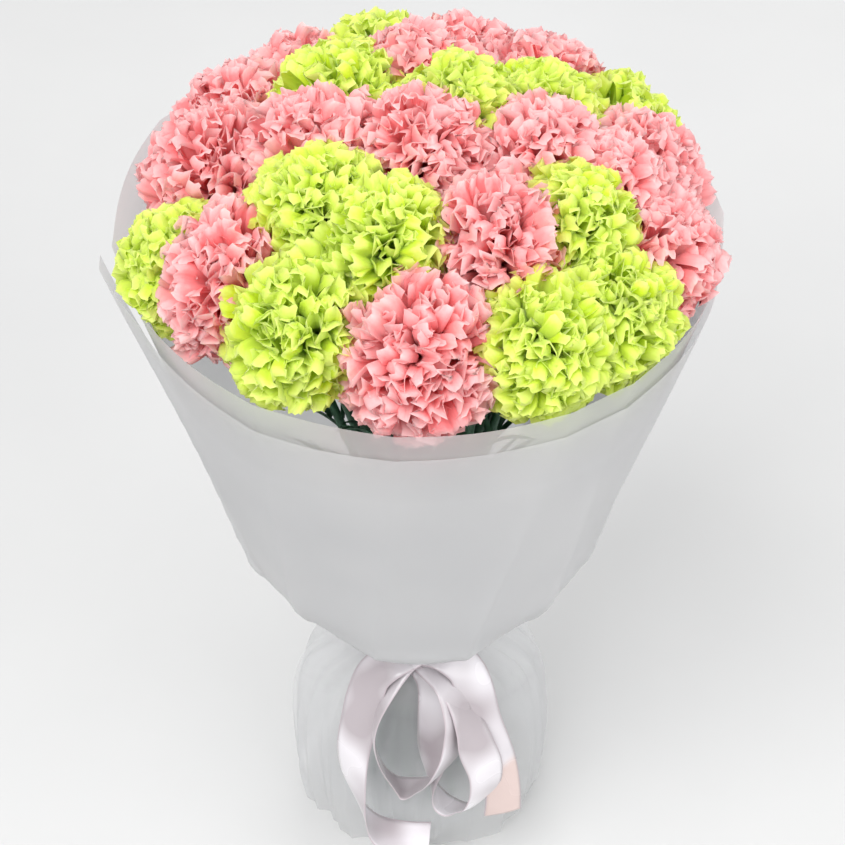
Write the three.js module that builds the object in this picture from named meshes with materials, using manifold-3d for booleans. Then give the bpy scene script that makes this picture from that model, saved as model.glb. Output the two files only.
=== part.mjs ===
// A hand-tied bunch of carnations in a film wrap, standing on its own cut stems.
//
// Millimetres. +Z is up, -Y is the front and +X is to the right of someone who looks at the front.
// The origin lies on the surface that the bunch stands on, at the cut end of its middle stem.
//
// The stems cross in a spiral at the tie, so they fan out below it into a foot and above it into a
// dome of blooms. Two sheets of film follow the same hourglass, and a ribbon closes them at the tie.

import * as THREE from 'three';
import { mergeVertices } from 'three/addons/utils/BufferGeometryUtils.js';
import Module from 'manifold-3d';

const wasm = await Module();
wasm.setup();

// Driving dimensions: the bunch as a whole.
const TOTAL_HEIGHT = 555;
const DOME_RADIUS = 166;
const DOME_RISE = 100;
const TIE_HEIGHT = 172;
const MOUTH_HEIGHT = 478;
const MOUTH_RADIUS = 157;
const HEM_RADIUS = 78;

// Driving dimensions: one flower.
const STEM_RADIUS = 2.75;
const CALYX_RADIUS = 7.5;
const CALYX_LENGTH = 28;
const BLOOM_HALF_DEPTH = 0.37;
const BLOOM_BASE_DEPTH = 0.8;

// Driving dimensions: how the stems are tied.
const STEM_PITCH = 6.3;
const SPIRAL_TURN = THREE.MathUtils.degToRad(60);
const FOOT_RADIUS = 50;

// Driving dimensions: film, cord and ribbon.
const FILM_THICKNESS = 0.9;
const CORD_RADIUS = 1.4;
const RIBBON_WIDTH = 25;
const RIBBON_THICKNESS = 1.0;
const KNOT_RADIUS = 9;
const BAND_HALF_HEIGHT = 7;
const BAND_THICKNESS = 1.2;
const THROAT_HALF_HEIGHT = 9;
const BELLY_RADIUS = 83;
const SHOULDER_RADIUS = 70;
const CONE_FOOT_RADIUS = 99;
const CONE_FOOT_RISE = 68;
const INNER_HEM_HEIGHT = 14;
const PLEATS = 14;
const PLEAT_DEPTH = 2;

// Clearances.
const CLEARANCE = 0.4;
const SHEET_GAP = 1;
const STEM_ROOM = 1.4;
const SLEEVE_ROOM = 4;
const KNOT_GAP = 0.2;

// How finely the curved pieces are faceted.
const BLOOM_DETAIL = 2;
const STEM_SIDES = 6;
const FILM_SIDES = 42;

// The planting plan, one flower a row. bearing is in degrees from the front, positive to the right;
// reach is the distance from the bunch's axis as a share of the dome's radius; width is the bloom's.
const FLOWERS = [
  { bearing: 0, reach: 0.8, width: 80, colour: 'pink' },
  { bearing: 28, reach: 0.84, width: 66, colour: 'green' },
  { bearing: 48, reach: 0.87, width: 66, colour: 'green' },
  { bearing: 71, reach: 0.86, width: 76, colour: 'pink' },
  { bearing: 98, reach: 0.79, width: 72, colour: 'pink' },
  { bearing: 122, reach: 0.87, width: 68, colour: 'green' },
  { bearing: 145, reach: 0.81, width: 72, colour: 'pink' },
  { bearing: 168, reach: 0.82, width: 70, colour: 'pink' },
  { bearing: -169, reach: 0.8, width: 70, colour: 'green' },
  { bearing: -147, reach: 0.83, width: 70, colour: 'pink' },
  { bearing: -124, reach: 0.79, width: 76, colour: 'pink' },
  { bearing: -96, reach: 0.73, width: 80, colour: 'pink' },
  { bearing: -68, reach: 0.89, width: 62, colour: 'green' },
  { bearing: -54, reach: 0.79, width: 74, colour: 'pink' },
  { bearing: -30, reach: 0.79, width: 72, colour: 'green' },
  { bearing: 32, reach: 0.51, width: 78, colour: 'pink' },
  { bearing: 58, reach: 0.59, width: 62, colour: 'green' },
  { bearing: 80, reach: 0.63, width: 58, colour: 'pink' },
  { bearing: 88, reach: 0.41, width: 70, colour: 'pink' },
  { bearing: 117, reach: 0.46, width: 62, colour: 'green' },
  { bearing: 178, reach: 0.46, width: 68, colour: 'pink' },
  { bearing: -138, reach: 0.4, width: 68, colour: 'green' },
  { bearing: -90, reach: 0.33, width: 72, colour: 'pink' },
  { bearing: -47, reach: 0.43, width: 62, colour: 'green' },
  { bearing: -13, reach: 0.47, width: 66, colour: 'green' },
  { bearing: 20, reach: 0.06, width: 70, colour: 'pink' },
  { bearing: 140, reach: 0.22, width: 66, colour: 'green' },
];

const UP = new THREE.Vector3(0, 0, 1);
const LOOKS = {
  pink: { color: 0xf2a3a3, roughness: 0.8, metalness: 0 },
  green: { color: 0xb6d84a, roughness: 0.8, metalness: 0 },
  stem: { color: 0x5f8a5a, roughness: 0.6, metalness: 0 },
  film: { color: 0xd3d8dc, roughness: 0.55, metalness: 0 },
  cord: { color: 0xcfc3a2, roughness: 0.85, metalness: 0 },
  ribbon: { color: 0xd9cbd3, roughness: 0.3, metalness: 0 },
};

// --- Geometry helpers -------------------------------------------------------------------------

// Keeps only shared positions, so that a closed surface is one body without seams.
function weld(geometry) {
  geometry.deleteAttribute('normal');
  geometry.deleteAttribute('uv');
  const welded = mergeVertices(geometry, 1e-4);
  welded.computeVertexNormals();
  return welded;
}

// Calls move with each corner of a geometry, and keeps where move leaves it.
function reshape(geometry, move) {
  const places = geometry.getAttribute('position');
  const corner = new THREE.Vector3();
  for (let i = 0; i < places.count; i += 1) {
    corner.fromBufferAttribute(places, i);
    move(corner);
    places.setXYZ(i, corner.x, corner.y, corner.z);
  }
  return geometry;
}

function toSolid(geometry) {
  const welded = weld(geometry);
  const vertProperties = new Float32Array(welded.getAttribute('position').array);
  const triVerts = new Uint32Array(welded.index.array);
  return new wasm.Manifold(new wasm.Mesh({ numProp: 3, vertProperties, triVerts }));
}

function fromSolid(solid) {
  const { vertProperties, triVerts } = solid.getMesh();
  const geometry = new THREE.BufferGeometry();
  geometry.setAttribute('position', new THREE.BufferAttribute(vertProperties, 3));
  geometry.setIndex(new THREE.BufferAttribute(triVerts, 1));
  geometry.computeVertexNormals();
  return geometry;
}

function piece(name, geometry, look) {
  const mesh = new THREE.Mesh(geometry, new THREE.MeshStandardMaterial(LOOKS[look]));
  mesh.name = name;
  return mesh;
}

// Straight-line reading of a curve given as [position, value] pairs.
function readAlong(pairs, position) {
  const next = pairs.findIndex(([start]) => start >= position);
  if (next === 0) return pairs[0][1];
  if (next < 0) return pairs[pairs.length - 1][1];
  const [fromPosition, fromValue] = pairs[next - 1];
  const [toPosition, toValue] = pairs[next];
  const share = (position - fromPosition) / (toPosition - fromPosition);
  return THREE.MathUtils.lerp(fromValue, toValue, share);
}

// The horizontal direction of a bearing in degrees from the front.
function heading(bearing) {
  const angle = THREE.MathUtils.degToRad(bearing);
  return new THREE.Vector3(Math.sin(angle), -Math.cos(angle), 0);
}

// --- Where the flowers are --------------------------------------------------------------------

// Places a bloom just under the dome, facing out of it.
function placeBloom({ bearing, reach, width, colour }) {
  const out = heading(bearing);
  const lift = Math.sqrt(1 - reach * reach);
  const top = out.clone().multiplyScalar(reach * DOME_RADIUS);
  top.z = TOTAL_HEIGHT - DOME_RISE + lift * DOME_RISE;
  const axis = out.clone().multiplyScalar(reach / DOME_RADIUS);
  axis.z = lift / DOME_RISE;
  axis.normalize();
  const halfDepth = BLOOM_HALF_DEPTH * width;
  const centre = top.addScaledVector(axis, -halfDepth);
  const base = centre.clone().addScaledVector(axis, -BLOOM_BASE_DEPTH * halfDepth);
  return { colour, axis, centre, base, halfWidth: width / 2, halfDepth };
}

// Presses the stems together at the tie: a shrunken, turned copy of the bloom layout is pushed
// apart until no two stems are closer than STEM_PITCH, then set with its middle stem on the axis.
function packThroat(blooms) {
  const rounds = 400;
  const pull = 0.985;
  const startShare = 0.2;
  const spots = blooms.map(({ base }) => {
    const spot = new THREE.Vector2(base.x, base.y).multiplyScalar(startShare);
    return spot.rotateAround(new THREE.Vector2(), SPIRAL_TURN);
  });
  for (let round = 0; round < rounds; round += 1) {
    if (round < rounds / 2) spots.forEach((spot) => spot.multiplyScalar(pull));
    for (let i = 0; i < spots.length; i += 1) {
      for (let j = 0; j < i; j += 1) {
        const apart = spots[i].clone().sub(spots[j]);
        const push = (STEM_PITCH - apart.length()) / 2;
        if (push <= 0) continue;
        apart.setLength(push);
        spots[i].add(apart);
        spots[j].sub(apart);
      }
    }
  }
  const mean = spots.reduce((sum, spot) => sum.add(spot), new THREE.Vector2()).divideScalar(spots.length);
  const nearer = (a, b) => (a.distanceTo(mean) < b.distanceTo(mean) ? a : b);
  const middle = spots.reduce(nearer).clone();
  return spots.map((spot) => spot.sub(middle));
}

const blooms = FLOWERS.map(placeBloom);
const throat = packThroat(blooms);
const bundleRadius = Math.max(...throat.map((spot) => spot.length())) + STEM_RADIUS;

// --- The hourglass that the cord and the two sheets of film follow ----------------------------

const cordInnerRadius = bundleRadius + STEM_ROOM;
const cordOuterRadius = cordInnerRadius + 2 * CORD_RADIUS;
const innerThroatRadius = cordOuterRadius + SHEET_GAP;
const outerThroatRadius = innerThroatRadius + FILM_THICKNESS + SHEET_GAP;
const bandRadius = outerThroatRadius + FILM_THICKNESS + CLEARANCE;

// Radius of the film at a share of the way out from the throat to the foot of the cone.
const coneRadius = (share) => THREE.MathUtils.lerp(outerThroatRadius, CONE_FOOT_RADIUS, share);
const coneFootHeight = TIE_HEIGHT + CONE_FOOT_RISE;
const skirtTop = TIE_HEIGHT - THROAT_HALF_HEIGHT;

// Inner face of the outer sheet, as [height, radius] from the hem to the mouth.
const OUTER_SHEET = [
  [0, HEM_RADIUS],
  [TIE_HEIGHT * 0.2, BELLY_RADIUS],
  [TIE_HEIGHT * 0.55, BELLY_RADIUS],
  [TIE_HEIGHT * 0.78, SHOULDER_RADIUS],
  [skirtTop - THROAT_HALF_HEIGHT, (outerThroatRadius + SHOULDER_RADIUS) / 2],
  [skirtTop, outerThroatRadius],
  [TIE_HEIGHT + THROAT_HALF_HEIGHT, outerThroatRadius],
  [TIE_HEIGHT + CONE_FOOT_RISE * 0.3, coneRadius(0.25)],
  [TIE_HEIGHT + CONE_FOOT_RISE * 0.52, coneRadius(0.5)],
  [TIE_HEIGHT + CONE_FOOT_RISE * 0.74, coneRadius(0.75)],
  [coneFootHeight, CONE_FOOT_RADIUS],
  [MOUTH_HEIGHT, MOUTH_RADIUS],
];
const coneSlope = (MOUTH_RADIUS - CONE_FOOT_RADIUS) / (MOUTH_HEIGHT - coneFootHeight);

// Depth of the pleats, as [height, depth]: full along the skirt and gone at the throat.
const PLEATING = [
  [0, PLEAT_DEPTH],
  [TIE_HEIGHT * 0.55, PLEAT_DEPTH],
  [TIE_HEIGHT * 0.78, PLEAT_DEPTH / 2],
  [skirtTop, 0],
  [TIE_HEIGHT + THROAT_HALF_HEIGHT, 0],
  [TIE_HEIGHT + CONE_FOOT_RISE * 0.52, PLEAT_DEPTH / 2],
  [coneFootHeight, 0],
];

// How much flatter the skirt is from front to back than from side to side, as [height, share].
const FLATTENING = [
  [0, 0.05],
  [TIE_HEIGHT * 0.2, 0.12],
  [TIE_HEIGHT * 0.55, 0.28],
  [TIE_HEIGHT * 0.78, 0.28],
  [skirtTop, 0],
];

// One sheet of film, closed round into a tube that is open at both ends.
function sheetGeometry(inset, hemHeight, mouthLift) {
  const levels = OUTER_SHEET.map(([height]) => height);
  levels[0] = hemHeight;
  const inner = levels.map((height) => {
    const radius = readAlong(OUTER_SHEET, height) - inset;
    return new THREE.Vector2(radius, height);
  });
  const outer = inner.map(({ x, y }) => new THREE.Vector2(x + FILM_THICKNESS, y));
  const section = [...outer, ...inner.reverse(), outer[0].clone()];
  const geometry = new THREE.LatheGeometry(section, FILM_SIDES);
  geometry.rotateX(Math.PI / 2);
  return weld(reshape(geometry, (corner) => {
    const bearing = Math.atan2(corner.x, -corner.y);
    const radius = Math.hypot(corner.x, corner.y);
    const lift = corner.z > MOUTH_HEIGHT - 1 ? mouthLift(bearing) : 0;
    const pleat = readAlong(PLEATING, corner.z) * Math.cos(PLEATS * bearing);
    const scale = (radius + pleat + lift * coneSlope) / radius;
    corner.x *= scale;
    corner.y *= scale * (1 - readAlong(FLATTENING, corner.z));
    corner.z += lift;
  }));
}

// The outer mouth dips at the front; the inner one stands above it, with a corner on each side.
const outerMouth = (bearing) => -12 - 8 * Math.cos(bearing);
const innerMouth = (bearing) => 2 - 5 * Math.cos(bearing) + 5 * Math.cos(3 * bearing);
const sheetInset = SHEET_GAP + FILM_THICKNESS;

// --- Blooms -----------------------------------------------------------------------------------

// Widest distance that a ray from a bloom's centre may go before it meets the inner sheet's cone.
function reachToFilm(centre, ray) {
  const facetSag = MOUTH_RADIUS * (1 - Math.cos(Math.PI / FILM_SIDES));
  const filmRadius = CONE_FOOT_RADIUS + coneSlope * (centre.z - coneFootHeight);
  const wall = filmRadius - sheetInset - facetSag - CLEARANCE;
  const rise = coneSlope * ray.z;
  const a = ray.x * ray.x + ray.y * ray.y - rise * rise;
  const b = centre.x * ray.x + centre.y * ray.y - wall * rise;
  const c = centre.x * centre.x + centre.y * centre.y - wall * wall;
  const root = b * b - a * c;
  if (root < 0 || Math.abs(a) < 1e-6) return Infinity;
  const distance = (Math.sqrt(root) - b) / a;
  return distance > 0 ? distance : Infinity;
}

// A flattened ball, cut flat below for the calyx and pressed flat where it meets its neighbours.
function bloomGeometry(bloom) {
  const { centre, axis, halfWidth, halfDepth } = bloom;
  const walls = blooms.filter((other) => other !== bloom).map((other) => {
    const apart = other.centre.clone().sub(centre);
    const share = halfWidth / (halfWidth + other.halfWidth);
    return { distance: apart.length() * share - CLEARANCE / 2, normal: apart.normalize() };
  });
  walls.push({ distance: BLOOM_BASE_DEPTH * halfDepth, normal: axis.clone().negate() });
  const geometry = new THREE.IcosahedronGeometry(1, BLOOM_DETAIL);
  return weld(reshape(geometry, (corner) => {
    const ray = corner.clone().normalize();
    const along = ray.dot(axis);
    const across = 1 - along * along;
    const round = Math.sqrt(across / halfWidth ** 2 + along * along / halfDepth ** 2);
    let distance = Math.min(1 / round, reachToFilm(centre, ray));
    walls.forEach((wall) => {
      const facing = ray.dot(wall.normal);
      if (facing > 0) distance = Math.min(distance, wall.distance / facing);
    });
    corner.copy(ray).multiplyScalar(distance).add(centre);
  }));
}

// --- Stems ------------------------------------------------------------------------------------

// A stem from its cut foot, through the tie, to the top of its calyx. The foot is cut level and
// the calyx ends square to the bloom.
function stemGeometry(bloom, spot) {
  const footSpread = FOOT_RADIUS / (bundleRadius - STEM_RADIUS);
  const foot = spot.clone().multiplyScalar(footSpread).rotateAround(new THREE.Vector2(), SPIRAL_TURN);
  const top = bloom.base.clone().addScaledVector(bloom.axis, -CLEARANCE);
  const path = new THREE.CatmullRomCurve3([
    new THREE.Vector3(foot.x, foot.y, 0),
    new THREE.Vector3(spot.x, spot.y, TIE_HEIGHT),
    top.clone().addScaledVector(bloom.axis, -1.6 * CALYX_LENGTH),
    top,
  ]);
  const length = path.getLength();
  const calyxShare = CALYX_LENGTH / length;
  const plainSteps = 9;
  const stations = Array.from({ length: plainSteps + 1 }, (_, step) => ({
    share: (1 - calyxShare) * step / plainSteps,
    radius: STEM_RADIUS,
  }));
  stations.push({ share: 1 - 0.8 * calyxShare, radius: CALYX_RADIUS * 0.85 });
  stations.push({ share: 1, radius: CALYX_RADIUS });
  const last = stations.length - 1;
  const geometry = new THREE.CylinderGeometry(1, 1, last, STEM_SIDES, last);
  return weld(reshape(geometry, (corner) => {
    const station = Math.round(corner.y + last / 2);
    const { share, radius } = stations[station];
    let along = path.getTangentAt(share);
    if (station === 0) along = UP.clone();
    if (station === last) along = bloom.axis.clone();
    const turn = new THREE.Quaternion().setFromUnitVectors(UP, along);
    const offset = new THREE.Vector3(corner.x * radius, -corner.z * radius, 0);
    corner.copy(path.getPointAt(share)).add(offset.applyQuaternion(turn));
  }));
}

// --- Cord, sleeve and ribbon ------------------------------------------------------------------

// A round of cord, closed on itself.
function cordGeometry() {
  const ring = new THREE.TorusGeometry(cordInnerRadius + CORD_RADIUS, CORD_RADIUS, 6, 28);
  ring.translate(0, 0, TIE_HEIGHT);
  return weld(ring);
}

// A clear sleeve round the feet of the stems, open above and below.
function sleeveGeometry() {
  const top = TIE_HEIGHT * 0.72;
  const spread = (FOOT_RADIUS + STEM_RADIUS - bundleRadius) / TIE_HEIGHT;
  const footRadius = FOOT_RADIUS + STEM_RADIUS + SLEEVE_ROOM;
  const topRadius = footRadius - spread * top + SLEEVE_ROOM;
  const section = [
    new THREE.Vector2(footRadius + FILM_THICKNESS, 0),
    new THREE.Vector2(topRadius + FILM_THICKNESS, top),
    new THREE.Vector2(topRadius, top),
    new THREE.Vector2(footRadius, 0),
    new THREE.Vector2(footRadius + FILM_THICKNESS, 0),
  ];
  const geometry = new THREE.LatheGeometry(section, FILM_SIDES);
  geometry.rotateX(Math.PI / 2);
  return weld(geometry);
}

// A strip of ribbon along a smooth line through points. Each point is [x, y, rise, turn]: rise is
// its height over the tie, and turn is the angle in degrees of the strip's width from +X towards
// the front.
function stripGeometry(points, steps) {
  const corners = points.map(([x, y, rise]) => new THREE.Vector3(x, y, TIE_HEIGHT + rise));
  const path = new THREE.CatmullRomCurve3(corners);
  const turns = points.map(([, , , turn], index) => [index / (points.length - 1), turn]);
  const geometry = new THREE.BoxGeometry(1, 1, 1, 1, 1, steps);
  return reshape(geometry, (corner) => {
    const share = THREE.MathUtils.clamp(corner.z + 0.5, 0, 1);
    const along = path.getTangent(share);
    const turn = THREE.MathUtils.degToRad(readAlong(turns, share));
    const across = new THREE.Vector3(Math.cos(turn), -Math.sin(turn), 0);
    across.addScaledVector(along, -across.dot(along)).normalize();
    const face = along.clone().cross(across);
    const offset = across.multiplyScalar(corner.x * RIBBON_WIDTH);
    offset.addScaledVector(face, corner.y * RIBBON_THICKNESS);
    corner.copy(path.getPoint(share)).add(offset);
  });
}

// The ribbon is one length: a band round the tie, a knot in front, two hanging loops and two tails.
function ribbonSolid() {
  const low = TIE_HEIGHT - BAND_HALF_HEIGHT;
  const high = TIE_HEIGHT + BAND_HALF_HEIGHT;
  const band = new THREE.LatheGeometry([
    new THREE.Vector2(bandRadius + BAND_THICKNESS, low),
    new THREE.Vector2(bandRadius + BAND_THICKNESS, high),
    new THREE.Vector2(bandRadius, high),
    new THREE.Vector2(bandRadius, low),
    new THREE.Vector2(bandRadius + BAND_THICKNESS, low),
  ], 28);
  band.rotateX(Math.PI / 2);
  const tied = -bandRadius - KNOT_RADIUS - KNOT_GAP;
  const knot = new THREE.SphereGeometry(KNOT_RADIUS, 12, 8);
  knot.translate(0, tied, TIE_HEIGHT);
  const leftTail = stripGeometry([
    [-3, tied, -2, 60], [-14, -47, 3, 52], [-27, -52, -4, 42], [-33, -58, -16, 35],
    [-38, -66, -37, 32], [-42, -73, -59, 38], [-42, -77, -82, 50], [-37, -82, -106, 70],
    [-27, -88, -122, 85], [-10, -91, -126, 90], [6, -93, -124, 90],
  ], 24);
  const leftLoop = stripGeometry([
    [-2, tied, 2, 40], [-12, -47, 2, 50], [-24, -62, -16, 60], [-29, -70, -33, 80],
    [-27, -75, -54, 85], [-20, -81, -73, 80], [-10, -84, -82, 75], [5, -85, -72, 65],
    [18, -84, -51, 60], [24, -80, -31, 65], [23, -72, -15, 85], [17, -60, -5, 105],
    [2, tied, -1, 135],
  ], 28);
  const rightLoop = stripGeometry([
    [0, tied + 2, -5, 10], [8, -50, -6, 15], [11, -58, -17, 20], [10, -68, -37, 30],
    [8, -73, -62, 45], [7, -78, -81, 70], [10, -83, -94, 85], [18, -87, -99, 90],
    [31, -88, -95, 80], [40, -89, -80, 60], [41, -86, -59, 50], [35, -82, -40, 55],
    [30, -76, -25, 70], [25, -66, -13, 80], [18, -54, -8, 100], [5, tied + 1, -7, 120],
  ], 32);
  const rightTail = stripGeometry([
    [4, tied, 0, -60], [16, -47, 5, -50], [27, -52, 0, -42], [33, -59, -10, -35],
    [39, -69, -32, -30], [46, -75, -50, -30], [51, -78, -68, -28], [53, -80, -94, -15],
    [53, -81, -112, -10],
  ], 20);
  const parts = [band, knot, leftTail, leftLoop, rightLoop, rightTail].map(toSolid);
  return parts.reduce((whole, part) => whole.add(part));
}

// --- The bunch --------------------------------------------------------------------------------

const bunch = new THREE.Group();
const counts = { pink: 0, green: 0 };
blooms.forEach((bloom, index) => {
  counts[bloom.colour] += 1;
  const label = `${bloom.colour}_${String(counts[bloom.colour]).padStart(2, '0')}`;
  bunch.add(piece(`bloom_${label}`, bloomGeometry(bloom), bloom.colour));
  bunch.add(piece(`stem_${label}`, stemGeometry(bloom, throat[index]), 'stem'));
});
bunch.add(piece('binding_cord', cordGeometry(), 'cord'));
bunch.add(piece('stem_sleeve', sleeveGeometry(), 'film'));
bunch.add(piece('inner_wrap', sheetGeometry(sheetInset, INNER_HEM_HEIGHT, innerMouth), 'film'));
bunch.add(piece('outer_wrap', sheetGeometry(0, 0, outerMouth), 'film'));
bunch.add(piece('ribbon', fromSolid(ribbonSolid()), 'ribbon'));

export default bunch;
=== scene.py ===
"""The looks of a hand-tied bunch of carnations in a film wrap, standing on its cut stems.

Metres, in the part's own frame: +Z up, -Y the front, +X to the right of someone at the front.
Blooms are petals set round a calyx by one Geometry Nodes tree; stems, film and ribbon are meshes
built here along lines read from the frame.
"""

import math
import random

import bmesh
import bpy
from mathutils import Matrix, Vector, noise


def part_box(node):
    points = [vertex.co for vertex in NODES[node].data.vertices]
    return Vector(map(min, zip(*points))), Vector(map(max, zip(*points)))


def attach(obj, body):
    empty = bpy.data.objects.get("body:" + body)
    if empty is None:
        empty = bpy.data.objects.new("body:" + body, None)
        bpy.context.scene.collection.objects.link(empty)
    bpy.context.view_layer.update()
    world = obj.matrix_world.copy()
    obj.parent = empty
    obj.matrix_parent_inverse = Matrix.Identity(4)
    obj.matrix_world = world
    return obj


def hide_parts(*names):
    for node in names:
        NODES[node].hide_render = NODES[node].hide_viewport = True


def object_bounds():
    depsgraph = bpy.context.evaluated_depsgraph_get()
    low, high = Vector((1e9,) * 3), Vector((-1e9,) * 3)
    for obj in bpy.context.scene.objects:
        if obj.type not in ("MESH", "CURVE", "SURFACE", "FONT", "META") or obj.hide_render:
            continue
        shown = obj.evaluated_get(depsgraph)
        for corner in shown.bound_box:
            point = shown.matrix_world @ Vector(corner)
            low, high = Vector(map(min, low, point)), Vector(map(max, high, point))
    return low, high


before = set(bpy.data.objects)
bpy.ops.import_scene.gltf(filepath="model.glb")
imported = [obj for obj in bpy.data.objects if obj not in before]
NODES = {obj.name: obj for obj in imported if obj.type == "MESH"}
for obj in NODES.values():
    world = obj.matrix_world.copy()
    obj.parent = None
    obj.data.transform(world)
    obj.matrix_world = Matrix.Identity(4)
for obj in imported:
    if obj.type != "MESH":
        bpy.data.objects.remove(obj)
cad_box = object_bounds()

# --- Sizes that the looks share with the part -------------------------------------------------

TIE_HEIGHT = (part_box("binding_cord")[0][2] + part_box("binding_cord")[1][2]) / 2
MOUTH_HEIGHT = 0.478
STEM_RADIUS = 0.00275
CALYX_LENGTH = 0.028
CALYX_RADIUS = 0.0075
RIBBON_WIDTH = 0.025
THROAT_RADIUS = 0.0285

# The film's outline from hem to mouth, as (height, radius).
HOURGLASS = [
    (0.0, 0.078), (0.034, 0.083), (0.095, 0.083), (0.134, 0.070), (0.154, 0.047),
    (TIE_HEIGHT - 0.009, THROAT_RADIUS), (TIE_HEIGHT + 0.009, THROAT_RADIUS), (0.192, 0.046),
    (0.207, 0.064), (0.222, 0.081), (0.240, 0.0985), (0.258, 0.1035), (0.300, 0.1135),
    (0.390, 0.1357), (MOUTH_HEIGHT, 0.157), (0.520, 0.167),
]

# How much flatter the skirt is from front to back than from side to side, as (height, share).
FLATTENING = [
    (0.0, 0.05), (0.034, 0.12), (0.095, 0.28), (0.134, 0.28), (0.163, 0.0), (0.520, 0.0),
]

# --- Small helpers ----------------------------------------------------------------------------


def smooth(low, high, value):
    """0 below low, 1 above high, and a smooth step between."""
    share = min(max((value - low) / (high - low), 0.0), 1.0)
    return share * share * (3 - 2 * share)


def mix(a, b, share):
    return a + (b - a) * share


def read_along(pairs, place):
    """Reads a line of (place, value) pairs, rounded with a cubic through its neighbours."""
    for i in range(1, len(pairs)):
        if place <= pairs[i][0] or i == len(pairs) - 1:
            break
    (x1, y1), (x2, y2) = pairs[i - 1], pairs[i]
    x0, y0 = pairs[max(i - 2, 0)]
    x3, y3 = pairs[min(i + 1, len(pairs) - 1)]
    slope1 = (y2 - y0) / max(x2 - x0, 1e-9)
    slope2 = (y3 - y1) / max(x3 - x1, 1e-9)
    width = x2 - x1
    t = min(max((place - x1) / width, 0.0), 1.0)
    a = 2 * t**3 - 3 * t**2 + 1
    b = t**3 - 2 * t**2 + t
    c = -2 * t**3 + 3 * t**2
    d = t**3 - t**2
    return a * y1 + b * width * slope1 + c * y2 + d * width * slope2


def heading(bearing):
    """The level direction of a bearing in degrees from the front, positive to the right."""
    angle = math.radians(bearing)
    return Vector((math.sin(angle), -math.cos(angle), 0.0))


def new_object(name, verts, faces, material, smooth_shaded=True):
    """A mesh object at the origin from corners and faces."""
    mesh = bpy.data.meshes.new(name)
    mesh.from_pydata([tuple(v) for v in verts], [], faces)
    mesh.update()
    if smooth_shaded:
        mesh.shade_smooth()
    if material:
        mesh.materials.append(material)
    obj = bpy.data.objects.new(name, mesh)
    bpy.context.scene.collection.objects.link(obj)
    return obj


def grid_faces(rows, columns, closed=False):
    """Faces of a grid of rows by columns corners; closed joins the last column to the first."""
    faces = []
    for row in range(rows - 1):
        for column in range(columns if closed else columns - 1):
            after = (column + 1) % columns
            low, high = row * columns, (row + 1) * columns
            faces.append((low + column, low + after, high + after, high + column))
    return faces


def store_values(obj, **lists):
    """Keeps one number for each corner under each name, for a material to read."""
    for name, values in lists.items():
        layer = obj.data.attributes.new(name, "FLOAT", "POINT")
        layer.data.foreach_set("value", values)


def settle(obj, node):
    """The piece stands for a CAD node and rides with it."""
    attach(obj, "root")
    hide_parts(node)
    return obj


# --- Materials --------------------------------------------------------------------------------


class NodeWriter:
    """Short ways to add and join the nodes of a tree."""

    def __init__(self, tree):
        self.tree = tree

    def add(self, kind, settings=None, **values):
        node = self.tree.nodes.new(kind)
        for key, value in (settings or {}).items():
            setattr(node, key, value)
        return self.fill(node, **values)

    def fill(self, node, **values):
        """Sets or joins sockets by name, with _ for each space."""
        for key, value in values.items():
            self.put(node, key.replace("_", " "), value)
        return node

    def put(self, node, socket, value):
        """Sets a socket by name or number, or joins it to another node's output."""
        target = node.inputs[socket]
        if isinstance(value, bpy.types.NodeSocket):
            self.tree.links.new(value, target)
        else:
            target.default_value = value

    def math(self, operation, a, b=0.0):
        node = self.tree.nodes.new("ShaderNodeMath")
        node.operation = operation
        self.put(node, 0, a)
        self.put(node, 1, b)
        return node.outputs[0]


class Shader(NodeWriter):
    """A material's or a shader group's tree."""

    def blend(self, share, a, b):
        node = self.tree.nodes.new("ShaderNodeMix")
        node.data_type = "RGBA"
        self.put(node, 0, share)
        self.put(node, 6, a)
        self.put(node, 7, b)
        return node.outputs[2]

    def attribute(self, name):
        return self.add("ShaderNodeAttribute", {"attribute_name": name}).outputs["Fac"]

    def place(self):
        return self.add("ShaderNodeTexCoord").outputs["Object"]

    def noise(self, scale, detail=3.0, rough=0.55, vector=None):
        node = self.add("ShaderNodeTexNoise", Scale=scale, Detail=detail, Roughness=rough)
        self.put(node, "Vector", vector or self.place())
        return node.outputs["Fac"]

    def ramp(self, value, low, high, start=0.0, end=1.0):
        """start up to low, end past high, and an even climb between."""
        node = self.add("ShaderNodeMapRange", Value=value, From_Min=low, From_Max=high,
                        To_Min=start, To_Max=end)
        return node.outputs[0]

    def bump(self, height, strength, distance):
        node = self.add("ShaderNodeBump", Strength=strength, Distance=distance, Height=height)
        return node.outputs[0]

    def group(self, tree, **values):
        return self.add("ShaderNodeGroup", {"node_tree": tree}, **values).outputs

    def mix(self, share, a, b):
        """Two surfaces mixed: share of b, and the rest of a."""
        node = self.add("ShaderNodeMixShader")
        for socket, value in enumerate((share, a, b)):
            self.put(node, socket, value)
        return node.outputs[0]

    def show(self, surface):
        self.put(self.tree.nodes["Material Output"], "Surface", surface)


def new_material(name):
    material = bpy.data.materials.new(name)
    material.use_nodes = True
    shader = Shader(material.node_tree)
    return material, shader, material.node_tree.nodes["Principled BSDF"]


def new_group(name, inputs, outputs):
    """An empty shader group. Sockets are (name, kind)."""
    tree = bpy.data.node_groups.new(name, "ShaderNodeTree")
    for socket, kind in inputs:
        tree.interface.new_socket(socket, in_out="INPUT", socket_type=kind)
    for socket, kind in outputs:
        tree.interface.new_socket(socket, in_out="OUTPUT", socket_type=kind)
    entry = tree.nodes.new("NodeGroupInput")
    leave = tree.nodes.new("NodeGroupOutput")
    return tree, Shader(tree), entry.outputs, leave


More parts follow.
